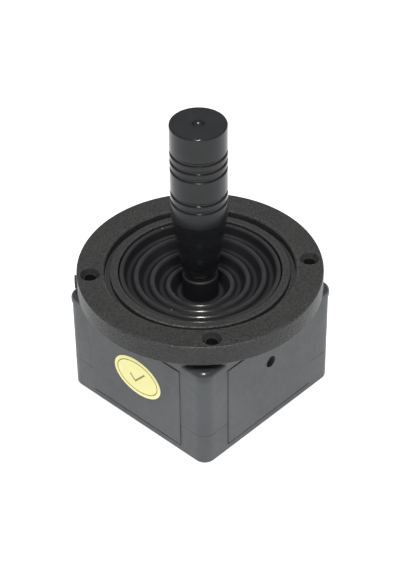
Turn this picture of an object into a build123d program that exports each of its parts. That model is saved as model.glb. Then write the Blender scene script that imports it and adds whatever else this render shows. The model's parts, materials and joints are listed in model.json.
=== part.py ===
from build123d import *
import os

# Two-axis panel joystick. Millimetres, +Z up, origin at the centre of the case's underside.
# The swing frame turns about X, the lever turns about Y inside it, and a slotted bail that
# also turns about Y reads the lever's second direction. Both pivot axes cross at PIVOT_Z.

HAIR = 0.01
RUNNING_GAP = 0.04
SCREW_SLOT_HALF = 0.25

# Mounting flange
FLANGE_R = 32.5
FLANGE_Z = (32.9, 38.9)
FLANGE_BORE_R = 25.25
FLANGE_EDGE = 0.4
LIP_SEAT_R = 27.2
LIP_SEAT_Z = 34.0
MOUNT_CIRCLE_R = 29.0
MOUNT_HOLE_R = 1.5
COUNTERSINK_R = 2.65
MOUNT_ANGLE = 49.3
GATE_STUB_ANGLE = 226.0
GATE_STUB_SIZE = (1.2, 2.5, 3.0)
GATE_STUB_Z = 35.2

# Screws that hold the flange from below
FLANGE_SCREW_CIRCLE_R = 28.6
FLANGE_SCREW_ANGLE = 37.0
FLANGE_SCREW_HEAD_R = 1.6
FLANGE_SCREW_HEAD_Z = (29.4, 30.7)
FLANGE_SCREW_TIP_Z = 36.6
FLANGE_THREAD_R = 1.0

# Square top plate with a round seat for the flange
PLATE_HALF = 25.2
PLATE_Z = (28.8, 31.3)
PLATE_EDGE = 1.6
PLATE_OPENING_R = 22.5
SEAT_R = 30.4
SEAT_HOLE_R = 2.0

# Housing and bottom cover
CASE_HALF = 25.0
CASE_CORNER = 3.2
WALL = 2.0
FLOOR = 2.1
PANEL_HALF = 16.25
PANEL_Z = (2.6, 28.07)
PANEL_PROUD = 0.25
PANEL_EDGE = 0.15
COVER_BLOCK_Z = 9.62
COVER_EDGE = 0.6
SEAM = 0.12
COLUMN_INNER = 15.4
TONGUE_GAP = 0.2
TONGUE_WALL = 1.4
TONGUE_TOP = 4.8
SOCKET_WALL = 1.3
SOCKET_TOP = 4.5
WIRE_EXIT = (10.0, 5.0)
WIRE_EXIT_AT = (-10.0, 18.4)

# Long screws that hold the cover and the housing to the top plate
CASE_SCREW_AT = 18.2
CASE_SCREW_R = 1.5
CASE_SCREW_HOLE_R = 1.6
CASE_SCREW_HEAD_R = 2.8
CASE_SCREW_HEAD_Z = (0.3, 2.4)
CASE_SCREW_TIP_Z = 31.0
CROSS_DEPTH = 0.9

# Pivot axes
PIVOT_Z = 20.7
PIN_R = 1.3
PIN_END = 24.3
PIN_HOLE_R = 1.7
FRAME_FACE = 10.5
BAIL_FACE = 13.0
BUSH_FLANGE = (20.6, 21.6)
BUSH_FLANGE_R = 3.2
BUSH_R = 2.4
BUSH_END = 24.1
BUSH_BOSS_R = 4.2

# Centring springs: tangent legs straddle a moving tab and a fixed tab
WIRE_R = 0.45
COIL_R = 3.85
COIL_PITCH = 1.05
COIL_TURNS = 4.5
COIL_START = 14.4
LEG_LENGTH = 10.2
SLEEVE_GAP = 0.2
TAB_HALF = 3.35
TAB_DEPTH = (5.2, 7.2)
TAB_END = 19.3
FIXED_TAB_DEPTH = (8.3, 10.1)
FIXED_TAB_START = 14.0

# Gimbal frame, lever and bail
FRAME_BAR = 2.5
FRAME_HALF_Y = 8.5
FRAME_INNER_Y = 5.5
FRAME_HALF_Z = 3.2
FRAME_CORNER = 1.5
FRAME_ARM = 2.2
CROSS_PIN_R = 1.5
HUB_R = 4.0
HUB_SIDE_GAP = 0.2
STEM_R = 3.0
STEM_TOP_Z = 58.0
TAIL_R = 1.4
TAIL_DEPTH = 17.5
BALL_R = 2.2
BALL_DEPTH = 11.5
SLOT_GAP = 0.3
SLOT_HALF_LENGTH = 8.0
BAIL_ARM = 2.0
BAIL_HALF = 4.2
BAIL_DEPTH = (10.0, 12.4)
GATE_HALF = 7.4
GATE_WALL = 0.8
GATE_CORNER = 1.5
GATE_TOP = 6.9

# Handle
HANDLE_R = 7.4
HANDLE_Z = (39.0, 84.3)
HANDLE_EDGE = 0.45
TAPER_TOP_Z = 56.5
TAPER_END_R = 4.85
GROOVES = (61.63, 64.1, 71.56, 74.03, 76.5)
GROOVE_DEPTH = 0.45
GROOVE_TOP_HALF = 0.55
GROOVE_FLOOR_HALF = 0.3
CENTRE_MARK_R = 1.8
CENTRE_MARK_RISE = 0.75

# Dust boot, and the ring that clamps its rim in the flange's bore
BOOT_WALL = 0.9
BOOT_LIP_R = 27.0
BOOT_BEAD_R = (20.1, 21.4)
BOOT_BEAD_Z = 37.7
COLLAR_R = 4.8
COLLAR_TOP_Z = 36.9
COLLAR_FOOT = (6.2, 30.2)
CRESTS = ((8.4, 33.9), (12.5, 35.6), (16.8, 37.4))
TROUGHS = ((10.4, 31.3), (14.65, 32.9), (19.0, 33.9))
CREST_ROUND = 1.0
TROUGH_ROUND = 0.8
CLAMP_R = (21.6, 23.8)
CLAMP_Z = (34.05, 38.15)
CLAMP_STEP_Z = 36.5

# Inspection label
LABEL_CENTRE = (1.0, 17.1)
LABEL_RADII = (8.4, 5.9)
LABEL_THICK = 0.08

# Potentiometers, at the -X end of the frame's axis
POT_R = 7.5
POT_WALL = 0.9
POT_FACE = 15.4
POT_BACK = 22.0
POT_FRONT_WALL = 1.2
POT_NECK = (3.0, 1.6)
POT_EAR_R = 2.2
POT_EAR_THICK = 1.4
POT_EAR_AT = 9.9
POT_BOSS_R = 2.0
POT_SCREW_R = 1.0
POT_SCREW_HEAD = (1.9, 1.3)
POT_SCREW_END = 24.2
SHAFT_R = 1.5
SHAFT_FLAT = 1.1
WIPER_R = 5.8
WIPER_X = (18.6, 19.8)
TRACK_THICK = 0.8
LUG_PITCH = 2.5
LUG_HALF = 0.65
LUG_THICK = 0.3
LUG_DEPTH = (4.0, 11.5)
LUG_EYE_R = 0.35
LUG_EYE_DEPTH = 10.4


def upright(radius, low, high):
    """Cylinder on the vertical axis between two heights."""
    return Pos(0, 0, (low + high) / 2) * Cylinder(radius, high - low)


def along_x(radius, start, end, y=0.0, depth=0.0):
    """Cylinder along X, at a depth below the pivot axis."""
    bar = Rot(0, 90, 0) * Cylinder(radius, abs(end - start))
    return Pos((start + end) / 2, y, PIVOT_Z - depth) * bar


def along_y(radius, start, end):
    """Cylinder along Y on the pivot axis."""
    bar = Rot(90, 0, 0) * Cylinder(radius, end - start)
    return Pos(0, (start + end) / 2, PIVOT_Z) * bar


def block(x, y, z):
    """Box from three (low, high) pairs."""
    sizes = [high - low for low, high in (x, y, z)]
    middle = [(low + high) / 2 for low, high in (x, y, z)]
    return Pos(*middle) * Box(*sizes)


def either_side(half):
    """The (low, high) pair that reaches equally far both ways."""
    return -half, half


def below(depths):
    """The (low, high) heights of a pair of depths under the pivot axis."""
    return PIVOT_Z - depths[1], PIVOT_Z - depths[0]


def square(half, low, high, corner=0.0):
    """Square block on the vertical axis, with rounded upright edges."""
    shape = block(either_side(half), either_side(half), (low, high))
    if corner:
        shape = fillet(shape.edges().filter_by(Axis.Z), corner)
    return shape


def four(shape):
    """The shape repeated at each quarter turn about Z."""
    return [Rot(0, 0, 90 * turn) * shape for turn in range(4)]


def at_case_screws(shape):
    """The shape, made on the vertical axis, moved to each case screw's place."""
    return [Pos(x, y, 0) * shape for x in either_side(CASE_SCREW_AT) for y in either_side(CASE_SCREW_AT)]


def on_circle(shape, radius, angle):
    """The shape repeated four times on a circle that starts at an angle."""
    return [Rot(0, 0, angle) * turned_copy for turned_copy in four(Pos(radius, 0, 0) * shape)]


def at_mount_holes(shape):
    return on_circle(shape, MOUNT_CIRCLE_R, MOUNT_ANGLE)


def at_flange_screws(shape):
    return on_circle(shape, FLANGE_SCREW_CIRCLE_R, FLANGE_SCREW_ANGLE)


def revolved(corners, radii):
    """Solid of revolution about Z from a closed outline of (r, z) corners, each rounded by its radius."""
    section = make_face(FilletPolyline(*corners, radius=radii, close=True).edges())
    return revolve(Plane.XZ * section, Axis.Z)


def flange_ring():
    """Round flange with countersunk holes, a bore for the clamp ring and a seat for the boot's lip."""
    ring = upright(FLANGE_R, *FLANGE_Z)
    ring = fillet(ring.edges().filter_by(GeomType.CIRCLE), FLANGE_EDGE)
    ring -= upright(FLANGE_BORE_R, FLANGE_Z[0] - 1, FLANGE_Z[1] + 1)
    ring -= upright(LIP_SEAT_R, FLANGE_Z[0] - 1, LIP_SEAT_Z)
    top_edges = ring.edges().filter_by(GeomType.CIRCLE).filter_by_position(Axis.Z, FLANGE_Z[1], FLANGE_Z[1])
    ring = chamfer(top_edges.sort_by(SortBy.RADIUS)[0], FLANGE_EDGE)
    cone_depth = COUNTERSINK_R - MOUNT_HOLE_R
    cone = Pos(0, 0, FLANGE_Z[1] - cone_depth / 2) * Cone(MOUNT_HOLE_R, COUNTERSINK_R, cone_depth)
    ring -= at_mount_holes(upright(MOUNT_HOLE_R, FLANGE_Z[0] - 1, FLANGE_Z[1]) + cone)
    ring -= at_flange_screws(upright(FLANGE_THREAD_R, FLANGE_Z[0] - 1, FLANGE_SCREW_TIP_Z + 0.3))
    stub = Pos(FLANGE_R, 0, GATE_STUB_Z) * Box(*GATE_STUB_SIZE)
    return ring + Rot(0, 0, GATE_STUB_ANGLE) * fillet(stub.edges().filter_by(Axis.X), FLANGE_EDGE)


def flange_screws():
    """Small cheese-head screws, driven up through the top plate into the flange."""
    head_low, head_high = FLANGE_SCREW_HEAD_Z
    screw = upright(FLANGE_SCREW_HEAD_R, head_low, head_high)
    screw += upright(FLANGE_THREAD_R - 2 * HAIR, head_high, FLANGE_SCREW_TIP_Z)
    slot_z = (head_low - 1, head_low + 0.5)
    screw -= block(either_side(FLANGE_SCREW_HEAD_R + 1), either_side(SCREW_SLOT_HALF), slot_z)
    return Compound(at_flange_screws(screw))


def top_plate():
    """Square plate over the housing, with a round seat that carries the flange."""
    low, high = PLATE_Z
    plate = square(PLATE_HALF, low, high, CASE_CORNER)
    plate = fillet(plate.edges().group_by(Axis.Z)[-1], PLATE_EDGE)
    seat_z = (high - PLATE_EDGE, FLANGE_Z[0])
    plate += square(PLATE_HALF, *seat_z, CASE_CORNER) & upright(SEAT_R, *seat_z)
    plate -= upright(PLATE_OPENING_R, low - 1, FLANGE_Z[0] + 1)
    plate -= at_mount_holes(upright(SEAT_HOLE_R, high, FLANGE_Z[0] + 1))
    head_pocket = upright(FLANGE_SCREW_HEAD_R + 0.1, low - 1, FLANGE_SCREW_HEAD_Z[1])
    plate -= at_flange_screws(upright(FLANGE_THREAD_R + 0.1, low, FLANGE_Z[0] + 1) + head_pocket)
    plate -= at_case_screws(upright(CASE_SCREW_R, low - 1, CASE_SCREW_TIP_Z + 0.3))
    return plate


def wall_features():
    """What the housing carries on its +X wall and, by a quarter turn, on its -Y wall."""
    wall_inside = CASE_HALF - WALL
    boss = along_x(BUSH_BOSS_R, BUSH_FLANGE[1], wall_inside)
    return boss + block((FIXED_TAB_START, wall_inside), either_side(TAB_HALF), below(FIXED_TAB_DEPTH))


def housing():
    """Square tube with a raised panel on each side, screw columns, and both axes' bosses."""
    wall_inside = CASE_HALF - WALL
    shell = square(CASE_HALF, PANEL_Z[0], PLATE_Z[0], CASE_CORNER)
    panel = block((CASE_HALF - 1, CASE_HALF + PANEL_PROUD), either_side(PANEL_HALF), PANEL_Z)
    panel = fillet(panel.faces().sort_by(Axis.X)[-1].edges(), PANEL_EDGE)
    shell += four(panel)
    shell -= square(wall_inside, 0, PLATE_Z[0] + 1)
    reach = (COLUMN_INNER, CASE_HALF - WALL / 2)
    shell += four(block(reach, reach, (COVER_BLOCK_Z, PLATE_Z[0])))
    for cut in ((PANEL_HALF, CASE_HALF + 1), (COLUMN_INNER - 1, wall_inside)):
        shell -= four(block(cut, cut, (0, COVER_BLOCK_Z + SEAM)))
    pot_boss, screw_bore = [], []
    for side in either_side(POT_EAR_AT):
        pot_boss.append(along_x(POT_BOSS_R, -POT_BACK, -wall_inside, side))
        screw_bore.append(along_x(POT_SCREW_R + 2 * HAIR, 1 - POT_BACK, -POT_SCREW_END - 0.2, side))
    axle_bore = along_x(BUSH_R + 2 * HAIR, BUSH_FLANGE[1] - 1, BUSH_END + 0.1)
    axle_bore += along_x(PIN_HOLE_R, BUSH_END, CASE_HALF + 1)
    for turn in (0, -90):
        shell += [Rot(0, 0, turn) * feature for feature in (wall_features(), *pot_boss)]
        shell -= [Rot(0, 0, turn) * bore for bore in (axle_bore, *screw_bore)]
    shell -= at_case_screws(upright(CASE_SCREW_HOLE_R, 0, PLATE_Z[0] + 1))
    return shell


def bottom_cover():
    """Floor with corner blocks, a locating tongue inside the walls and a socket for the gate."""
    cover = square(CASE_HALF, 0, COVER_BLOCK_Z, CASE_CORNER)
    cover = fillet(cover.edges().group_by(Axis.Z)[0], COVER_EDGE)
    opening = block(either_side(CASE_HALF + 1), either_side(PANEL_HALF + SEAM), (FLOOR, COVER_BLOCK_Z + 1))
    cover -= opening
    cover -= Rot(0, 0, 90) * opening
    tongue = CASE_HALF - WALL - TONGUE_GAP
    cover += square(tongue, FLOOR - 0.5, TONGUE_TOP) - square(tongue - TONGUE_WALL, 0, TONGUE_TOP + 1)
    gate_outer = GATE_HALF + GATE_WALL
    cover += square(gate_outer + SOCKET_WALL, FLOOR - 0.5, SOCKET_TOP)
    cover -= square(gate_outer + HAIR, FLOOR, SOCKET_TOP + 1)
    head_pocket = upright(CASE_SCREW_HEAD_R + 0.2, -1, CASE_SCREW_HEAD_Z[1])
    cover -= at_case_screws(upright(CASE_SCREW_HOLE_R, -1, COVER_BLOCK_Z + 1) + head_pocket)
    return cover - Pos(*WIRE_EXIT_AT, 0) * Box(*WIRE_EXIT, 2 * COVER_BLOCK_Z)


def case_screws():
    """Long cross-slotted screws, driven up through the cover and the housing into the top plate."""
    head_low, head_high = CASE_SCREW_HEAD_Z
    screw = upright(CASE_SCREW_HEAD_R, head_low, head_high)
    screw += upright(CASE_SCREW_R - RUNNING_GAP, head_high, CASE_SCREW_TIP_Z)
    cross_half = CASE_SCREW_HEAD_R * 2 / 3
    bar = block(either_side(cross_half), either_side(SCREW_SLOT_HALF), (0, head_low + CROSS_DEPTH))
    screw -= bar
    screw -= Rot(0, 0, 90) * bar
    return Compound(at_case_screws(screw))


def gate_insert():
    """Square steel gate that stops the lever's tail."""
    outer = square(GATE_HALF + GATE_WALL, FLOOR, GATE_TOP)
    return outer - square(GATE_HALF, FLOOR - 1, GATE_TOP + 1, GATE_CORNER)


def boot():
    """Pleated dust boot: a collar on the stem, crests that step down, and a rim bead with a flat lip."""
    down = BOOT_WALL
    foot_r, foot_z = COLLAR_FOOT
    bore = STEM_R + 2 * RUNNING_GAP
    waves = [point for pair in zip(CRESTS, TROUGHS) for point in pair]
    wave_rounds = [CREST_ROUND, TROUGH_ROUND] * len(CRESTS)
    corners = [(bore, COLLAR_TOP_Z), (COLLAR_R, COLLAR_TOP_Z), (COLLAR_R, foot_z), COLLAR_FOOT, *waves]
    radii = [0.2, 0.6, 0.5, 0.6, *wave_rounds]
    bead_inner, bead_outer = BOOT_BEAD_R
    corners += [(bead_inner, BOOT_BEAD_Z), (bead_outer, BOOT_BEAD_Z), (bead_outer, LIP_SEAT_Z - 0.1)]
    corners += [(BOOT_LIP_R, LIP_SEAT_Z - 0.1), (BOOT_LIP_R, FLANGE_Z[0]), (bead_inner, FLANGE_Z[0])]
    radii += [0.5, 0.5, 0.1, 0.2, 0.2, 0.2]
    corners += [(r, z - down) for r, z in reversed(waves)]
    radii += reversed(wave_rounds)
    corners += [(foot_r + 0.3, foot_z - down), (bore, foot_z - down)]
    radii += [0.3, 0.2]
    return revolved(corners, radii)


def boot_clamp_ring():
    """Stepped ring: its base is a press fit in the flange's bore and holds the boot's lip down."""
    inner, outer = CLAMP_R
    low, high = CLAMP_Z
    base = FLANGE_BORE_R - HAIR
    corners = [(inner, low), (base, low), (base, CLAMP_STEP_Z)]
    corners += [(outer, CLAMP_STEP_Z), (outer, high), (inner, high)]
    return revolved(corners, [0.2, 0.2, 0.2, 0.2, 0.3, 0.3])


def inspection_label():
    """Thin oval paper label over the pivot hole of the -Y wall."""
    x, z = LABEL_CENTRE
    face = Plane(origin=(x, -CASE_HALF - PANEL_PROUD, z), x_dir=(1, 0, 0), z_dir=(0, -1, 0))
    return extrude(face * Ellipse(*LABEL_RADII), LABEL_THICK)


def handle():
    """Turned stick: a taper, then a cylinder with soft-lipped grooves and a centre mark on top."""
    low, high = HANDLE_Z
    corners = [(0, low), (TAPER_END_R, low), (HANDLE_R, TAPER_TOP_Z)]
    radii = [0, HANDLE_EDGE, 0]
    for middle in GROOVES:
        floor_r = HANDLE_R - GROOVE_DEPTH
        corners += [(HANDLE_R, middle - GROOVE_TOP_HALF), (floor_r, middle - GROOVE_FLOOR_HALF)]
        corners += [(floor_r, middle + GROOVE_FLOOR_HALF), (HANDLE_R, middle + GROOVE_TOP_HALF)]
        radii += [0.2, 0.25, 0.25, 0.2]
    corners += [(HANDLE_R, high), (0, high)]
    radii += [HANDLE_EDGE, 0]
    stick = revolved(corners, radii)
    stick -= Pos(0, 0, high + CENTRE_MARK_RISE) * Sphere(CENTRE_MARK_R)
    return stick - upright(STEM_R + HAIR, low - 1, STEM_TOP_Z + 0.2)


def lever_shaft():
    """Steel shaft: stem into the handle, cross-bored hub on the pivot, tail down to the gate."""
    hub = FRAME_INNER_Y - HUB_SIDE_GAP
    shaft = upright(STEM_R, PIVOT_Z, STEM_TOP_Z) + along_y(HUB_R, -hub, hub)
    tail = upright(TAIL_R, PIVOT_Z - TAIL_DEPTH, PIVOT_Z)
    shaft += fillet(tail.edges().group_by(Axis.Z)[0], 0.5)
    return shaft - along_y(CROSS_PIN_R + RUNNING_GAP, -FRAME_INNER_Y, FRAME_INNER_Y)


def tail_ball():
    ball = Pos(0, 0, PIVOT_Z - BALL_DEPTH) * Sphere(BALL_R)
    return ball - upright(TAIL_R + HAIR, 0, PIVOT_Z)


def cross_pin():
    return along_y(CROSS_PIN_R, -FRAME_HALF_Y, FRAME_HALF_Y)


def flatted_shaft(gap, start, end):
    """D-section shaft, or with a gap the hole for it, on the X pivot axis."""
    shaft = along_x(SHAFT_R + gap, start, end)
    above = (PIVOT_Z + SHAFT_FLAT + gap, PIVOT_Z + 2 * SHAFT_R)
    return shaft - block((start, end), either_side(2 * SHAFT_R), above)


def swing_frame():
    """Gimbal frame with the spring tab on an arm below its +X bar."""
    height = (PIVOT_Z - FRAME_HALF_Z, PIVOT_Z + FRAME_HALF_Z)
    frame = block(either_side(FRAME_FACE), either_side(FRAME_HALF_Y), height)
    frame = fillet(frame.edges().filter_by(Axis.Z), FRAME_CORNER)
    inner = FRAME_FACE - FRAME_BAR
    frame -= block(either_side(inner), either_side(FRAME_INNER_Y), (0, 2 * PIVOT_Z))
    arm_start = FRAME_FACE - FRAME_ARM
    frame += block((arm_start, FRAME_FACE), either_side(TAB_HALF), (PIVOT_Z - TAB_DEPTH[1], PIVOT_Z - 2))
    frame += block((arm_start, TAB_END), either_side(TAB_HALF), below(TAB_DEPTH))
    frame -= along_x(PIN_R + HAIR, inner - 1, FRAME_FACE + 1)
    frame -= flatted_shaft(HAIR, -FRAME_FACE - 1, 1 - inner)
    return frame - along_y(CROSS_PIN_R + HAIR, -FRAME_HALF_Y - 1, FRAME_HALF_Y + 1)


def slotted_bail():
    """U-shaped bail about Y. Its crossbar has the slot for the tail ball."""
    arm_start = BAIL_FACE - BAIL_ARM
    side = block(either_side(BAIL_HALF), (arm_start, BAIL_FACE), below((0, BAIL_DEPTH[1])))
    side += along_y(BAIL_HALF, arm_start, BAIL_FACE)
    bail = side + Rot(0, 0, 180) * side
    bail += block(either_side(BAIL_HALF), either_side(BAIL_FACE), below(BAIL_DEPTH))
    bail += block(either_side(TAB_HALF), (-TAB_END, 1 - BAIL_FACE), below(TAB_DEPTH))
    slot = SlotOverall(2 * SLOT_HALF_LENGTH, 2 * (BALL_R + SLOT_GAP), rotation=90)
    bail -= Pos(0, 0, 1) * extrude(slot, PIVOT_Z)
    axis_holes = [along_x(PIN_R + HAIR, arm_start - 1, BAIL_FACE + 1)]
    axis_holes.append(flatted_shaft(HAIR, -BAIL_FACE - 1, 1 - arm_start))
    return bail - [Rot(0, 0, -90) * hole for hole in axis_holes]


def pivot_pin(face):
    """Pressed into the moving part's outer face. Its far end shows in the case wall."""
    return along_x(PIN_R, face - 2.3, PIN_END)


def pivot_bush():
    bush = along_x(BUSH_FLANGE_R, *BUSH_FLANGE) + along_x(BUSH_R, BUSH_FLANGE[1], BUSH_END)
    return bush - along_x(PIN_R + RUNNING_GAP, BUSH_FLANGE[0] - 1, BUSH_END + 1)


def spring_sleeve(face):
    """Spacer on the pivot pin, inside the spring's coil."""
    start, end = face + 0.1, BUSH_FLANGE[0] - 0.1
    sleeve = along_x(COIL_R - WIRE_R - SLEEVE_GAP, start, end)
    return sleeve - along_x(PIN_R + RUNNING_GAP, start - 1, end + 1)


def centring_spring():
    """Torsion spring on the X pivot axis, both legs hanging from the sides of its coil."""
    helix = Helix(COIL_PITCH, COIL_PITCH * COIL_TURNS, COIL_R)
    start = Plane(origin=helix @ 0, z_dir=-(helix % 0)) * Circle(WIRE_R)
    end = Plane(origin=helix @ 1, z_dir=helix % 1) * Circle(WIRE_R)
    spring = sweep(start, path=helix, is_frenet=True) + extrude(start, LEG_LENGTH) + extrude(end, LEG_LENGTH)
    return Plane(origin=(COIL_START, 0, PIVOT_Z), x_dir=(0, 1, 0), z_dir=(1, 0, 0)) * spring


def pot_case():
    """Round potentiometer case, open at the back, with two fixing ears and a bearing neck."""
    neck_r, neck_length = POT_NECK
    case = along_x(POT_R, -POT_BACK, -POT_FACE) + along_x(neck_r, -POT_FACE, neck_length - POT_FACE)
    ear_face = POT_EAR_THICK - POT_BACK
    bridge_z = (PIVOT_Z - POT_EAR_R, PIVOT_Z + POT_EAR_R)
    case += block((-POT_BACK, ear_face), either_side(POT_EAR_AT), bridge_z)
    for side in either_side(POT_EAR_AT):
        case += along_x(POT_EAR_R, -POT_BACK, ear_face, side)
    case -= along_x(POT_R - POT_WALL, -POT_BACK - 1, -POT_FACE - POT_FRONT_WALL)
    case -= along_x(SHAFT_R + RUNNING_GAP, -POT_BACK, 0)
    for side in either_side(POT_EAR_AT):
        case -= along_x(POT_SCREW_R + 0.1, -POT_BACK - 1, 0, side)
    return case


def pot_rotor(face):
    """Potentiometer shaft, flatted where it enters the moving part, with the wiper disc."""
    tip = 2.2 - face
    shaft = along_x(SHAFT_R, POT_EAR_THICK - POT_BACK, -face - 0.2) + flatted_shaft(0, -face - 0.2, tip)
    return shaft + along_x(WIPER_R, -WIPER_X[1], -WIPER_X[0])


def pot_track():
    """Resistive track board that closes the back of the case."""
    return along_x(POT_R - POT_WALL - 0.05, -POT_BACK, TRACK_THICK - POT_BACK)


def pot_terminals():
    """Three soldering lugs that hang behind the case."""
    back = (-POT_BACK - LUG_THICK, -POT_BACK)
    lugs = []
    for y in (-LUG_PITCH, 0.0, LUG_PITCH):
        lug = block(back, (y - LUG_HALF, y + LUG_HALF), below(LUG_DEPTH))
        lugs.append(lug - along_x(LUG_EYE_R, -POT_BACK - 1, 1 - POT_BACK, y, LUG_EYE_DEPTH))
    return Compound(lugs)


def pot_screws():
    """Slotted screws through the ears into the housing's bosses."""
    head_r, head_height = POT_SCREW_HEAD
    seat = POT_EAR_THICK - POT_BACK
    screws = []
    for y in either_side(POT_EAR_AT):
        screw = along_x(head_r, seat, seat + head_height, y) + along_x(POT_SCREW_R, -POT_SCREW_END, seat, y)
        slot_z = (PIVOT_Z - SCREW_SLOT_HALF, PIVOT_Z + SCREW_SLOT_HALF)
        screws.append(screw - block((seat + head_height / 2, seat + 2 * head_height), (y - 2, y + 2), slot_z))
    return Compound(screws)


def axis_parts(name, face):
    """One pivot axis's hardware, laid out along X: pin and spring at +X, potentiometer at -X."""
    return {
        f"{name}_pivot_pin": pivot_pin(face),
        f"{name}_pivot_bush": pivot_bush(),
        f"{name}_spring_sleeve": spring_sleeve(face),
        f"{name}_spring": centring_spring(),
        f"{name}_pot_case": pot_case(),
        f"{name}_pot_rotor": pot_rotor(face),
        f"{name}_pot_track": pot_track(),
        f"{name}_pot_terminals": pot_terminals(),
        f"{name}_pot_screws": pot_screws(),
    }


parts = {
    "flange_ring": flange_ring(),
    "flange_screws": flange_screws(),
    "top_plate": top_plate(),
    "housing": housing(),
    "bottom_cover": bottom_cover(),
    "case_screws": case_screws(),
    "gate_insert": gate_insert(),
    "boot": boot(),
    "boot_clamp_ring": boot_clamp_ring(),
    "inspection_label": inspection_label(),
    "handle": handle(),
    "lever_shaft": lever_shaft(),
    "tail_ball": tail_ball(),
    "cross_pin": cross_pin(),
    "swing_frame": swing_frame(),
    "slotted_bail": slotted_bail(),
}
parts.update(axis_parts("frame", FRAME_FACE))
quarter_turn = Rot(0, 0, -90)
for part_name, shape in axis_parts("bail", BAIL_FACE).items():
    parts[part_name] = quarter_turn * shape

os.makedirs("parts", exist_ok=True)
for part_name, shape in parts.items():
    export_step(shape, f"parts/{part_name}.step")
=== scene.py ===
import json
import math

import bpy
from mathutils import Matrix, Vector
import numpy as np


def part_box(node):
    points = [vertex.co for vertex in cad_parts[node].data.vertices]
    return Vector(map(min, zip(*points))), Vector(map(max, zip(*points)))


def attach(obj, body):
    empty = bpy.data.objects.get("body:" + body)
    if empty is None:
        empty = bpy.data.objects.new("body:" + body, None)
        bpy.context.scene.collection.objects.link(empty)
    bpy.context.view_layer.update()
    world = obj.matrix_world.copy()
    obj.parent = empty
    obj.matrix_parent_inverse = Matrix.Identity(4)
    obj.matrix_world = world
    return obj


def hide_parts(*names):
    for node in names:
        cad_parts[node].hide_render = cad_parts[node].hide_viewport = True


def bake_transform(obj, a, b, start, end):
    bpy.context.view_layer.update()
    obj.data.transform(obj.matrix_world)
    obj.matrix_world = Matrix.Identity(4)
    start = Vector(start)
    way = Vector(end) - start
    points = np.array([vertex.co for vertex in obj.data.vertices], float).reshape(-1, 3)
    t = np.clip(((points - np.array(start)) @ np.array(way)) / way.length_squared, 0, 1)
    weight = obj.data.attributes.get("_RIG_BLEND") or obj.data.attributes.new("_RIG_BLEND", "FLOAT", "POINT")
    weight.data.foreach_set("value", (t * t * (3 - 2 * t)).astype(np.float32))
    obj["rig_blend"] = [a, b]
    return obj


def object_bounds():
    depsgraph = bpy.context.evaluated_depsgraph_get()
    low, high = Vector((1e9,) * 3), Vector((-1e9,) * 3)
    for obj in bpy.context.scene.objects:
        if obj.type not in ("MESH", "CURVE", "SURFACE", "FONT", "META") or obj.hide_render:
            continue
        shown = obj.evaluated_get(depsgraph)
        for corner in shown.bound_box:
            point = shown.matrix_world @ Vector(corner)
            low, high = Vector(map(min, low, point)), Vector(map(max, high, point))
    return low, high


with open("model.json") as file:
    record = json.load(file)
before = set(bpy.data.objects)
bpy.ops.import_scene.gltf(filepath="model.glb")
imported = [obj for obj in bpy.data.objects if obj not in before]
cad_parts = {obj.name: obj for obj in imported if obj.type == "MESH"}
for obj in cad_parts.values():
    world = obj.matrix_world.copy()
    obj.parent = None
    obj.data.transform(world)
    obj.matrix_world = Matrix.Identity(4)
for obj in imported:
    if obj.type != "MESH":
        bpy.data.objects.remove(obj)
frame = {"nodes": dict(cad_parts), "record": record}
cad_low, cad_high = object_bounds()
nodes = frame["nodes"]

MM = 0.001
WHITE = (1.0, 1.0, 1.0)

# The view: angles in degrees, the aim point in metres on the object's own axes
CAMERA_AZIMUTH = 43.943
CAMERA_ELEVATION = 39.386
CAMERA_ROLL = -0.792
CAMERA_DISTANCE = 0.50076
AIM_HEIGHT = 0.03254
AIM_SIDEWAYS = -0.000087
LENS = 119.50

# Flange: where the first mounting hole stands on its circle, and the smooth disc round each hole
MOUNT_ANGLE = 49.3
COUNTERSINK_R = 2.65

# Boot: (radius, height) corners of its pleats in millimetres, from the stick out to the rim
BOOT_CRESTS = ((8.4, 33.9), (12.5, 35.6), (16.8, 37.4))
BOOT_TROUGHS = ((10.4, 31.3), (14.65, 32.9), (19.0, 33.9))
BOOT_BEAD_R = (20.1, 21.4)
BOOT_WALL = 0.9
BOOT_COLLAR_R = 4.8
BOOT_COLLAR_TOP = 36.9
BOOT_FOOT = (6.2, 30.2)
BOOT_BORE_R = 3.08
BOOT_LIP_RISE = 1.0
CREST_ROUND = 1.0
TROUGH_ROUND = 0.9
CREST_REACH = 1.0
BOOT_FOOT_STEP = 0.3
BOOT_MESH_STEP = 0.45


# ---------------------------------------------------------------- mesh helpers

def rounded(corners, radii, turn_step=6.0):
    """Closed outline through (r, z) corners, each replaced by an arc of its radius."""
    outline = []
    count = len(corners)
    for index, radius in enumerate(radii):
        here = Vector(corners[index])
        before = (Vector(corners[index - 1]) - here).normalized()
        after = (Vector(corners[(index + 1) % count]) - here).normalized()
        half_angle = before.angle(after) / 2
        if radius == 0:
            outline.append(here)
            continue
        centre = here + (before + after).normalized() * (radius / math.sin(half_angle))
        first = here + before * (radius / math.tan(half_angle)) - centre
        turn = math.pi - 2 * half_angle
        if before.x * after.y - before.y * after.x > 0:
            turn = -turn
        steps = max(2, round(abs(math.degrees(turn)) / turn_step))
        for step in range(steps + 1):
            outline.append(centre + Matrix.Rotation(turn * step / steps, 2) @ first)
    return outline


def divided(outline, longest):
    """The closed outline with every long straight edge cut into shorter ones."""
    points = []
    for index, point in enumerate(outline):
        following = outline[(index + 1) % len(outline)]
        pieces = max(1, math.ceil((following - point).length / longest))
        points += [point.lerp(following, part / pieces) for part in range(pieces)]
    return points


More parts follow.
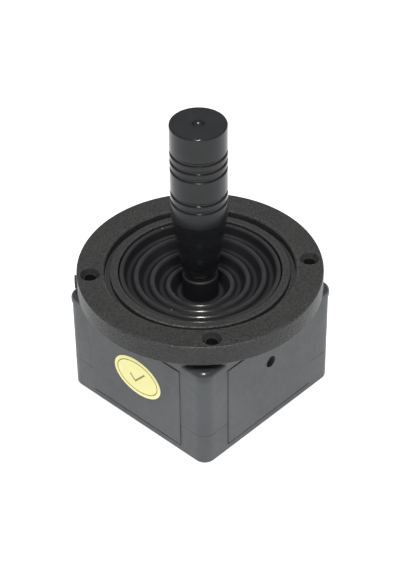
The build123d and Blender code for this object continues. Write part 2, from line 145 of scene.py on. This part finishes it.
def new_piece(name, vertices, faces, material, sharp_angle=35.0):
    """A smooth-shaded mesh object with its hard edges kept."""
    mesh = bpy.data.meshes.new(name)
    mesh.from_pydata(vertices, [], faces)
    mesh.validate()
    mesh.polygons.foreach_set("use_smooth", [True] * len(mesh.polygons))
    mesh.set_sharp_from_angle(angle=math.radians(sharp_angle))
    mesh.materials.append(material)
    piece = bpy.data.objects.new(name, mesh)
    bpy.context.scene.collection.objects.link(piece)
    return piece


def revolved(name, outline, material, segments=192):
    """Solid of revolution about Z from a closed (r, z) outline."""
    vertices = []
    for segment in range(segments):
        angle = 2 * math.pi * segment / segments
        vertices += [(p.x * math.cos(angle), p.x * math.sin(angle), p.y) for p in outline]
    count = len(outline)
    faces = []
    for segment in range(segments):
        here = segment * count
        there = (segment + 1) % segments * count
        for index in range(count):
            following = (index + 1) % count
            faces.append((here + index, there + index, there + following, here + following))
    return new_piece(name, vertices, faces, material)


# ------------------------------------------------------------ material helpers

class Nodes:
    """Short calls for building a node tree."""

    def __init__(self, tree):
        self.tree = tree

    def node(self, kind, inputs=None, **settings):
        """A new node; an input given as a socket is linked, and any other value is set."""
        made = self.tree.nodes.new(kind)
        for setting, value in settings.items():
            setattr(made, setting, value)
        for key, value in (inputs or {}).items():
            if isinstance(value, bpy.types.NodeSocket):
                self.tree.links.new(value, made.inputs[key])
            else:
                made.inputs[key].default_value = value
        return made

    def place(self):
        """Where the point is on the object, in metres."""
        return self.node("ShaderNodeTexCoord").outputs["Object"]

    def stretched(self, scale):
        """The place with each axis multiplied."""
        return self.node("ShaderNodeMapping", {"Vector": self.place(), "Scale": scale}).outputs["Vector"]

    def noise(self, size_mm, detail=3.0, roughness=0.55, where=None):
        """Smooth noise from 0 to 1 with features of about a size."""
        inputs = {"Vector": where or self.place(), "Scale": 1 / (size_mm * MM)}
        inputs["Detail"] = detail
        inputs["Roughness"] = roughness
        return self.node("ShaderNodeTexNoise", inputs).outputs["Fac"]

    def cells(self, size_mm, randomness=1.0, where=None):
        """A cell pattern's node, whose distance and colour outputs are used."""
        return self.node(
            "ShaderNodeTexVoronoi",
            {"Vector": where or self.place(), "Scale": 1 / (size_mm * MM), "Randomness": randomness},
        )

    def fit(self, value, from_low, from_high, to_low=0.0, to_high=1.0):
        """A value's range turned into another range, clamped."""
        inputs = {"Value": value, "From Min": from_low, "From Max": from_high}
        inputs["To Min"] = to_low
        inputs["To Max"] = to_high
        return self.node("ShaderNodeMapRange", inputs).outputs["Result"]

    def maths(self, operation, first, second=0.0):
        return self.node("ShaderNodeMath", {0: first, 1: second}, operation=operation).outputs[0]

    def blend(self, share, first, second):
        """Colour between the first at share 0 and the second at share 1."""
        colours = [c if isinstance(c, bpy.types.NodeSocket) else (*c, 1.0) for c in (first, second)]
        made = self.node("ShaderNodeMixRGB", {"Fac": share, "Color1": colours[0], "Color2": colours[1]})
        return made.outputs["Color"]

    def edges(self, radius_mm=0.25):
        """0 on open surface, rising to 1 on an edge."""
        soft = self.node("ShaderNodeBevel", {"Radius": radius_mm * MM}, samples=4).outputs["Normal"]
        true = self.node("ShaderNodeNewGeometry").outputs["Normal"]
        agreement = self.node("ShaderNodeVectorMath", {0: soft, 1: true}, operation="DOT_PRODUCT")
        return self.fit(agreement.outputs["Value"], 0.995, 0.9)

    def relief(self, height, depth_mm, below=None):
        """A bump normal of a real depth, on top of another normal if one is given."""
        inputs = {"Height": height, "Distance": depth_mm * MM, "Strength": 1.0}
        if below:
            inputs["Normal"] = below
        return self.node("ShaderNodeBump", inputs).outputs["Normal"]


class Shader(Nodes):
    """A Principled material and its nodes."""

    def __init__(self, name, **constants):
        self.material = bpy.data.materials.new(name)
        self.material.use_nodes = True
        super().__init__(self.material.node_tree)
        self.bsdf = self.tree.nodes["Principled BSDF"]
        for socket, value in constants.items():
            self.bsdf.inputs[socket.replace("_", " ")].default_value = value

    def use(self, **sockets):
        """Links sockets of the Principled shader."""
        for socket, value in sockets.items():
            self.tree.links.new(value, self.bsdf.inputs[socket.replace("_", " ")])
        return self.material


# ------------------------------------------------------------------- materials

def sand_textured(hole_centres):
    """Black moulding with a fine sand texture, smooth inside its countersinks."""
    shader = Shader("sand_textured_black", Specular_IOR_Level=0.18)
    place = shader.place()
    flat = shader.node("ShaderNodeVectorMath", {0: place, 1: (1, 1, 0)}, operation="MULTIPLY").outputs[0]
    nearest = None
    for centre in hole_centres:
        measure = shader.node("ShaderNodeVectorMath", {0: flat, 1: centre}, operation="DISTANCE")
        away = measure.outputs["Value"]
        nearest = away if nearest is None else shader.maths("MINIMUM", nearest, away)
    textured = shader.fit(nearest, (COUNTERSINK_R - 0.1) * MM, (COUNTERSINK_R + 0.15) * MM)
    grains = shader.cells(0.42)
    swell = shader.noise(0.8, 4.0)
    heights = shader.maths("ADD", grains.outputs["Distance"], swell)
    heights = shader.maths("MULTIPLY", heights, textured)
    dusty = shader.fit(shader.noise(9.0, 5.0), 0.42, 0.72)
    colour = shader.blend(dusty, (0.0165, 0.0165, 0.0162), (0.023, 0.0227, 0.0218))
    speckle = shader.fit(shader.noise(0.32, 2.0), 0.35, 0.68)
    colour = shader.blend(shader.maths("MULTIPLY", speckle, textured), colour, (0.05, 0.0495, 0.048))
    # Lighter edges: partly edge wear, partly a painted highlight standing in for the lamp's glint along the
    # edge fillets. The same mask also makes these edges glossier.
    edge_wear_and_painted_highlight = shader.maths("MULTIPLY", shader.edges(0.7), shader.fit(speckle, 0.2, 0.6, 0.1, 1.0))
    colour = shader.blend(edge_wear_and_painted_highlight, colour, (0.075, 0.078, 0.082))
    rough = shader.fit(shader.noise(0.3), 0.3, 0.7, 0.28, 0.45)
    rough = shader.maths("SUBTRACT", rough, shader.fit(textured, 1.0, 0.0, 0.0, 0.2))
    rough = shader.maths("SUBTRACT", rough, shader.maths("MULTIPLY", edge_wear_and_painted_highlight, 0.2))
    return shader.use(Base_Color=colour, Roughness=rough, Normal=shader.relief(heights, 0.075))


def satin_moulding(name, dark, light, rough_low, rough_high, gloss):
    """Smooth moulded plastic with a fine spark-eroded skin, rubbed on its edges."""
    shader = Shader(name, Specular_IOR_Level=gloss)
    broad = shader.fit(shader.noise(7.0, 5.0), 0.3, 0.7)
    colour = shader.blend(broad, dark, light)
    rubbed = shader.maths("MULTIPLY", shader.edges(0.2), shader.fit(shader.noise(2.5), 0.35, 0.65, 0.15, 0.6))
    lighter = tuple(1.7 * c for c in light)
    colour = shader.blend(rubbed, colour, lighter)
    rough = shader.fit(shader.noise(1.6, 6.0), 0.3, 0.7, rough_low, rough_high)
    skin = shader.relief(shader.noise(0.16, 2.0), 0.0045)
    skin = shader.relief(shader.noise(5.0, 2.0), 0.02, skin)
    return shader.use(Base_Color=colour, Roughness=rough, Normal=skin)


def polished_turning():
    """Black turned stick, polished, with the faintest tool lines round it."""
    shader = Shader("polished_black_turning", Specular_IOR_Level=0.33)
    lines = shader.noise(0.35, 2.0, where=shader.stretched((0.02, 0.02, 1.0)))
    smears = shader.noise(6.0, 5.0)
    colour = shader.blend(shader.fit(smears, 0.35, 0.7), (0.009, 0.0095, 0.0105), (0.0135, 0.0135, 0.014))
    rough = shader.fit(smears, 0.3, 0.7, 0.12, 0.19)
    return shader.use(Base_Color=colour, Roughness=rough, Normal=shader.relief(lines, 0.0002))


def boot_rubber(crest_attribute):
    """Glossy black rubber, greyed on its crests and rim, with a few specks of dust."""
    shader = Shader("boot_rubber_black", Specular_IOR_Level=0.36)
    crest = shader.node("ShaderNodeAttribute", attribute_name=crest_attribute).outputs["Fac"]
    cloud = shader.fit(shader.noise(3.0, 5.0), 0.35, 0.7)
    specks = shader.cells(1.5)
    chosen = shader.fit(specks.outputs["Color"], 0.86, 0.87)
    dots = shader.maths("MULTIPLY", shader.fit(specks.outputs["Distance"], 0.075, 0.05), chosen)
    greyed = shader.maths("MULTIPLY", crest, shader.fit(cloud, 0.0, 1.0, 0.55, 1.0))
    colour = shader.blend(greyed, (0.0075, 0.0078, 0.0095), (0.03, 0.0285, 0.026))
    colour = shader.blend(dots, colour, (0.7, 0.7, 0.68))
    rough = shader.fit(crest, 0.0, 0.4, 0.48, 0.14)
    rough = shader.maths("ADD", rough, shader.fit(cloud, 0.0, 1.0, 0.0, 0.05))
    return shader.use(Base_Color=colour, Roughness=rough, Normal=shader.relief(shader.noise(0.5, 3.0), 0.003))


def coated_paper():
    """Pale yellow sticker paper with a soft sheen."""
    shader = Shader("sticker_paper_yellow", Specular_IOR_Level=0.35)
    mottle = shader.noise(1.2, 5.0)
    colour = shader.blend(shader.fit(mottle, 0.3, 0.7), (0.93, 0.86, 0.36), (0.97, 0.91, 0.42))
    rough = shader.fit(mottle, 0.3, 0.7, 0.42, 0.55)
    return shader.use(Base_Color=colour, Roughness=rough, Normal=shader.relief(shader.noise(0.25), 0.003))


def printed_ink():
    """Olive-brown ink, thinner in places."""
    shader = Shader("sticker_ink_olive", Specular_IOR_Level=0.3)
    thin = shader.fit(shader.noise(0.5, 4.0), 0.35, 0.7)
    colour = shader.blend(thin, (0.25, 0.2, 0.06), (0.42, 0.35, 0.12))
    rough = shader.fit(shader.noise(0.4), 0.3, 0.7, 0.5, 0.65)
    return shader.use(Base_Color=colour, Roughness=rough)


def metal(name, dark, light, rough_low, rough_high, grain_mm=0.3, along=(1.0, 1.0, 1.0), depth_mm=0.002):
    """Bare or coated metal with tool lines or casting grain."""
    shader = Shader(name, Metallic=1.0)
    grain = shader.noise(grain_mm, 4.0, where=shader.stretched(along))
    stain = shader.noise(4.0, 4.0)
    colour = shader.blend(shader.fit(stain, 0.3, 0.7), dark, light)
    rubbed = shader.maths("MULTIPLY", shader.edges(0.15), 0.5)
    colour = shader.blend(rubbed, colour, tuple(min(1.0, 1.3 * c) for c in light))
    rough = shader.fit(grain, 0.3, 0.7, rough_low, rough_high)
    return shader.use(Base_Color=colour, Roughness=rough, Normal=shader.relief(grain, depth_mm))


def plain_plastic(name, dark, light, rough_low, rough_high, grain_mm=0.4):
    """Moulded or laminated plastic of an inner part."""
    shader = Shader(name, Specular_IOR_Level=0.5)
    grain = shader.noise(grain_mm, 4.0)
    colour = shader.blend(shader.fit(shader.noise(2.5, 4.0), 0.3, 0.7), dark, light)
    rough = shader.fit(grain, 0.3, 0.7, rough_low, rough_high)
    return shader.use(Base_Color=colour, Roughness=rough, Normal=shader.relief(grain, 0.004))


def mount_hole_centres():
    """The centres of the flange's four mounting holes, at height 0."""
    mount = next(m for m in frame["record"]["mounts"] if m["name"] == "panel_holes")
    circle = mount["dims"]["pcd_mm"] / 2 * MM
    angles = [math.radians(MOUNT_ANGLE + 90 * turn) for turn in range(4)]
    return [(circle * math.cos(angle), circle * math.sin(angle), 0.0) for angle in angles]


CREST = "crest"
LONG_Z = (1.0, 1.0, 0.05)
slot_materials = {
    "textured_black": sand_textured(mount_hole_centres()),
    "plate_black": satin_moulding(
        "satin_black_plate", (0.02, 0.022, 0.025), (0.028, 0.03, 0.033), 0.2, 0.32, 0.5
    ),
    "case_grey": satin_moulding(
        "satin_grey_case", (0.062, 0.0665, 0.07), (0.074, 0.0785, 0.0825), 0.36, 0.5, 0.3
    ),
    "handle_black": polished_turning(),
    "boot_rubber": boot_rubber(CREST),
    "label_paper": coated_paper(),
    "bright_steel": metal("ground_steel", (0.5, 0.5, 0.5), (0.62, 0.61, 0.6), 0.2, 0.36, 0.2, LONG_Z),
    "blackened_steel": metal("blackened_steel", (0.05, 0.05, 0.052), (0.09, 0.09, 0.092), 0.35, 0.5),
    "zinc": metal("cast_zinc", (0.4, 0.41, 0.43), (0.52, 0.53, 0.55), 0.42, 0.6, 0.5, depth_mm=0.01),
    "gate_steel": metal("pressed_steel", (0.45, 0.45, 0.45), (0.6, 0.6, 0.6), 0.25, 0.4, 0.3, LONG_Z),
    "bronze": metal("sintered_bronze", (0.4, 0.26, 0.12), (0.55, 0.38, 0.19), 0.4, 0.6, 0.15),
    "nylon": plain_plastic("natural_nylon", (0.7, 0.68, 0.6), (0.8, 0.78, 0.71), 0.35, 0.5),
    "spring_steel": metal("spring_wire", (0.3, 0.3, 0.31), (0.42, 0.42, 0.43), 0.22, 0.38, 0.1),
    "pot_black": plain_plastic("potentiometer_black", (0.02, 0.024, 0.032), (0.03, 0.036, 0.048), 0.35, 0.55),
    "pot_shaft": metal("potentiometer_shaft", (0.55, 0.55, 0.54), (0.66, 0.65, 0.64), 0.2, 0.34, 0.2, LONG_Z),
    "track_board": plain_plastic("phenolic_board", (0.2, 0.1, 0.035), (0.32, 0.17, 0.07), 0.4, 0.6, 0.25),
    "terminal": metal("tinned_brass", (0.6, 0.58, 0.5), (0.74, 0.71, 0.62), 0.25, 0.45, 0.3),
}
ink = printed_ink()

node_materials = {row["node"]: slot_materials[row["material_slot"]] for row in frame["record"]["subparts"]}
for node_name, material in node_materials.items():
    nodes[node_name].data.materials.clear()
    nodes[node_name].data.materials.append(material)


# ------------------------------------------------------------------- dust boot

def boot_outlines():
    """The boot's two closed outlines (outer, inner), the point where they meet, and the crests' tops."""
    rim_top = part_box("boot")[1].z
    lip_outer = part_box("boot")[1].x
    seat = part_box("flange_ring")[0].z
    waves = [Vector(point) * MM for pair in zip(BOOT_CRESTS, BOOT_TROUGHS) for point in pair]
    rounds = [CREST_ROUND, TROUGH_ROUND] * len(BOOT_CRESTS)
    split_at = 2
    meet = (waves[split_at - 1] + waves[split_at]) / 2
    down = Vector((0, -BOOT_WALL * MM))
    foot = Vector(BOOT_FOOT) * MM
    bore, collar, collar_top = BOOT_BORE_R * MM, BOOT_COLLAR_R * MM, BOOT_COLLAR_TOP * MM

    inner = [Vector((bore, collar_top)), Vector((collar, collar_top)), Vector((collar, foot.y)), foot]
    inner += [*waves[:split_at], meet, meet + down]
    inner += [point + down for point in reversed(waves[:split_at])]
    inner += [foot + down + Vector((BOOT_FOOT_STEP * MM, 0)), Vector((bore, foot.y)) + down]
    inner_radii = [0.2, 0.6, 0.5, 0.6, *rounds[:split_at], 0, 0, *reversed(rounds[:split_at]), 0.3, 0.2]

    bead_inner, bead_outer = (radius * MM for radius in BOOT_BEAD_R)
    lip_top = seat + BOOT_LIP_RISE * MM
    outer = [meet, *waves[split_at:], Vector((bead_inner, rim_top)), Vector((bead_outer, rim_top))]
    outer += [Vector((bead_outer, lip_top)), Vector((lip_outer, lip_top)), Vector((lip_outer, seat))]
    outer.append(Vector((bead_inner, seat)))
    outer += [point + down for point in reversed(waves[split_at:])]
    outer.append(meet + down)
    outer_radii = [0, *rounds[split_at:], 0.5, 0.5, 0.1, 0.2, 0.2, 0.2, *reversed(rounds[split_at:]), 0]

    outlines = []
    for corners, radii in ((outer, outer_radii), (inner, inner_radii)):
        shape = rounded(corners, [radius * MM for radius in radii])
        outlines.append(divided(shape, BOOT_MESH_STEP * MM))
    corners = [Vector(crest) * MM for crest in BOOT_CRESTS]
    corners.append(Vector(((bead_inner + bead_outer) / 2, rim_top)))
    points = [point for outline in outlines for point in outline]
    tops = [min(points, key=lambda point: (point - corner).length) for corner in corners]
    return outlines, meet, tops


def write_floats(piece, name, values):
    """Stores one number per vertex on a mesh."""
    layer = piece.data.attributes.get(name) or piece.data.attributes.new(name, "FLOAT", "POINT")
    layer.data.foreach_set("value", values)


def radius_of(vertex):
    return math.hypot(vertex.co.x, vertex.co.y)


def crest_mask(piece, tops):
    """1 on top of each crest, falling to 0 in the troughs."""
    values = []
    for vertex in piece.data.vertices:
        place = Vector((radius_of(vertex), vertex.co.z))
        nearest = min((place - top).length for top in tops)
        values.append(max(0.0, 1.0 - nearest / (CREST_REACH * MM)))
    write_floats(piece, CREST, values)


def build_boot():
    """The pleated boot in two pieces that meet on a slope: the outer one follows the case at the rim
    and the gimbal where they meet, and the inner one goes on from there to the stick."""
    (outer_line, inner_line), meet, tops = boot_outlines()
    rim_start = BOOT_BEAD_R[0] * MM
    hub_end = BOOT_FOOT[0] * MM
    halves = (
        ("dust_boot_outer", outer_line, "case", "gimbal", rim_start, meet.x),
        ("dust_boot_inner", inner_line, "gimbal", "lever", meet.x, hub_end),
    )
    for name, outline, first, second, start, end in halves:
        piece = revolved(name, outline, slot_materials["boot_rubber"])
        crest_mask(piece, tops)
        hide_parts("boot")
        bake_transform(piece, first, second, start=(start, 0, meet.y), end=(end, 0, meet.y))
        shares = [(start - radius_of(vertex)) / (start - end) for vertex in piece.data.vertices]
        write_floats(piece, "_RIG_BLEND", [min(1.0, max(0.0, share)) for share in shares])


build_boot()


# ----------------------------------------------------------------------- label

def on_wall(centre, across, up, out):
    """A point of the label's face: across to the right, up, and out from the wall."""
    return Vector((centre.x + across, centre.y - out, centre.z + up))


def oval_loop(half_wide, half_high, count):
    for index in range(count):
        angle = 2 * math.pi * index / count
        yield half_wide * math.cos(angle), half_high * math.sin(angle)


def oval_rings(name, centre, rings, material, count=160, fill=True):
    """A surface through oval rings (inset, out), outermost first, closed in the middle if filled."""
    vertices, faces = [], []
    low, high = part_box("inspection_label")
    half_wide, half_high = (high.x - low.x) / 2, (high.z - low.z) / 2
    for inset, out in rings:
        for across, up in oval_loop(half_wide - inset, half_high - inset, count):
            vertices.append(on_wall(centre, across, up, out))
    for ring in range(len(rings) - 1):
        for index in range(count):
            following = (index + 1) % count
            here, there = ring * count, (ring + 1) * count
            faces.append((here + index, here + following, there + following, there + index))
    if fill:
        last = (len(rings) - 1) * count
        vertices.append(on_wall(centre, 0, 0, rings[-1][1]))
        middle = len(vertices) - 1
        faces += [(last + index, last + (index + 1) % count, middle) for index in range(count)]
        vertices.append(on_wall(centre, 0, 0, rings[0][1]))
        back = len(vertices) - 1
        faces += [((index + 1) % count, index, back) for index in range(count)]
    return new_piece(name, vertices, faces, material)


def stroke(name, centre, path, width, low_out, high_out, material):
    """A flat printed stroke along a path of (across, up) points, with mitred bends and square ends."""
    left, right = [], []
    points = [Vector(p) for p in path]
    for index, point in enumerate(points):
        before = (point - points[index - 1]).normalized() if index else None
        after = (points[index + 1] - point).normalized() if index + 1 < len(points) else None
        along = ((before or after) + (after or before)).normalized()
        side = Vector((-along.y, along.x))
        reach = width / 2 / (side.dot(Vector((-(after or before).y, (after or before).x))))
        left.append(point + side * reach)
        right.append(point - side * reach)
    outline = left + right[::-1]
    count = len(outline)
    vertices = [on_wall(centre, p.x, p.y, out) for out in (low_out, high_out) for p in outline]
    faces = [(i, (i + 1) % count, count + (i + 1) % count, count + i) for i in range(count)]
    for index in range(len(points) - 1):
        quad = (index, index + 1, count - 2 - index, count - 1 - index)
        faces.append(tuple(count + corner for corner in quad[::-1]))
        faces.append(quad)
    return new_piece(name, vertices, faces, material)


def build_label():
    """Oval sticker with an inset printed line and a plain tick."""
    low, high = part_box("inspection_label")
    centre = Vector(((low.x + high.x) / 2, high.y, (low.z + high.z) / 2))
    thick = high.y - low.y
    paper_rings = [(0, 0), (0, 0.6 * thick), (0.25 * thick, 0.9 * thick), (0.7 * thick, thick)]
    paper_rings += [(share * (high.z - low.z) / 2, thick) for share in (0.2, 0.4, 0.6, 0.8)]
    paper = oval_rings("sticker_paper", centre, paper_rings, slot_materials["label_paper"])
    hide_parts("inspection_label")
    ink_out = thick + 0.012 * MM
    line_inset, line_width = 1.0 * MM, 0.3 * MM
    line_rings = [(line_inset, thick), (line_inset, ink_out), (line_inset + line_width, ink_out)]
    line_rings += [(line_inset + line_width, thick), (line_inset, thick)]
    line = oval_rings("sticker_printed_line", centre, line_rings, ink, fill=False)
    tick_path = [(-2.6 * MM, 0.1 * MM), (-0.8 * MM, -1.7 * MM), (2.7 * MM, 2.2 * MM)]
    tick = stroke("sticker_printed_tick", centre, tick_path, 0.5 * MM, thick, ink_out, ink)
    for piece in (paper, line, tick):
        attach(piece, "case")


build_label()


# ------------------------------------------------------- floor, light and view

def level_direction(azimuth):
    """Level unit vector away from the object; 0 degrees is -Y and 90 degrees is +X."""
    angle = math.radians(azimuth)
    return Vector((math.sin(angle), -math.cos(angle), 0))


def direction_to(azimuth, elevation):
    """Unit vector away from the object at an azimuth and an elevation in degrees."""
    lift = math.radians(elevation)
    return level_direction(azimuth) * math.cos(lift) + Vector((0, 0, math.sin(lift)))


def build_camera():
    back = direction_to(CAMERA_AZIMUTH, CAMERA_ELEVATION)
    level_right = level_direction(CAMERA_AZIMUTH + 90)
    roll = Matrix.Rotation(math.radians(CAMERA_ROLL), 3, back)
    turned = Matrix((roll @ level_right, roll @ back.cross(level_right), back)).transposed()
    aim = level_right * AIM_SIDEWAYS + Vector((0, 0, AIM_HEIGHT))
    camera = bpy.data.objects.new("camera", bpy.data.cameras.new("camera"))
    camera.data.lens = LENS
    camera.matrix_world = Matrix.Translation(aim + back * CAMERA_DISTANCE) @ turned.to_4x4()
    bpy.context.scene.collection.objects.link(camera)
    bpy.context.scene.camera = camera


def build_floor():
    """A plain pale table top that runs out of view."""
    shader = Shader("pale_table", Roughness=0.6, Specular_IOR_Level=0.2)
    tone = shader.fit(shader.noise(40.0, 4.0), 0.3, 0.7)
    shader.use(Base_Color=shader.blend(tone, (0.48, 0.48, 0.48), (0.52, 0.52, 0.52)))
    shader.bsdf.inputs["Emission Color"].default_value = (0.97, 0.99, 1.02, 1.0)
    shader.bsdf.inputs["Emission Strength"].default_value = 0.8
    half = 2.0
    below = -0.05 * MM
    corners = [(-half, -half, below), (half, -half, below), (half, half, below), (-half, half, below)]
    floor = new_piece("table_top", corners, [(0, 1, 2, 3)], shader.material)


def softbox(name, azimuth, elevation, distance, width, height, power, tint=WHITE):
    """A rectangular light that looks at the middle of the object."""
    lamp = bpy.data.lights.new(name, "AREA")
    lamp.shape = "RECTANGLE"
    lamp.size = width
    lamp.size_y = height
    lamp.energy = power
    lamp.color = tint
    back = direction_to(azimuth, elevation)
    turned = back.to_track_quat("Z", "Y").to_matrix()
    light = bpy.data.objects.new(name, lamp)
    middle = Vector((0, 0, (cad_low.z + cad_high.z) / 2))
    light.matrix_world = Matrix.Translation(middle + back * distance) @ turned.to_4x4()
    bpy.context.scene.collection.objects.link(light)


def build_surroundings():
    """Room light: dim all round, with a brighter band low down on the camera's side."""
    world = bpy.data.worlds.new("white_tent")
    world.use_nodes = True
    sky = Nodes(world.node_tree)
    direction = sky.place()
    height = sky.node("ShaderNodeSeparateXYZ", {0: direction}).outputs["Z"]
    towards_camera = level_direction(CAMERA_AZIMUTH)
    facing = sky.node("ShaderNodeVectorMath", {0: direction, 1: towards_camera}, operation="DOT_PRODUCT")
    front = sky.fit(facing.outputs["Value"], 0.0, 0.8)
    low_band = sky.maths("MULTIPLY", front, sky.fit(height, 0.5, 0.1))
    overhead = sky.fit(height, 0.2, 0.65)
    dim = sky.blend(overhead, (0.34, 0.35, 0.37), (0.47, 0.48, 0.5))
    colour = sky.blend(low_band, dim, (1.0, 1.02, 1.04))
    sky.tree.links.new(colour, sky.tree.nodes["Background"].inputs["Color"])
    bpy.context.scene.world = world


build_camera()
build_floor()
softbox("overhead_strip", CAMERA_AZIMUTH, 72.0, 1.1, 0.11, 0.3, 12.0, (1.0, 0.98, 0.95))
build_surroundings()
bpy.context.scene.view_settings.view_transform = "Standard"
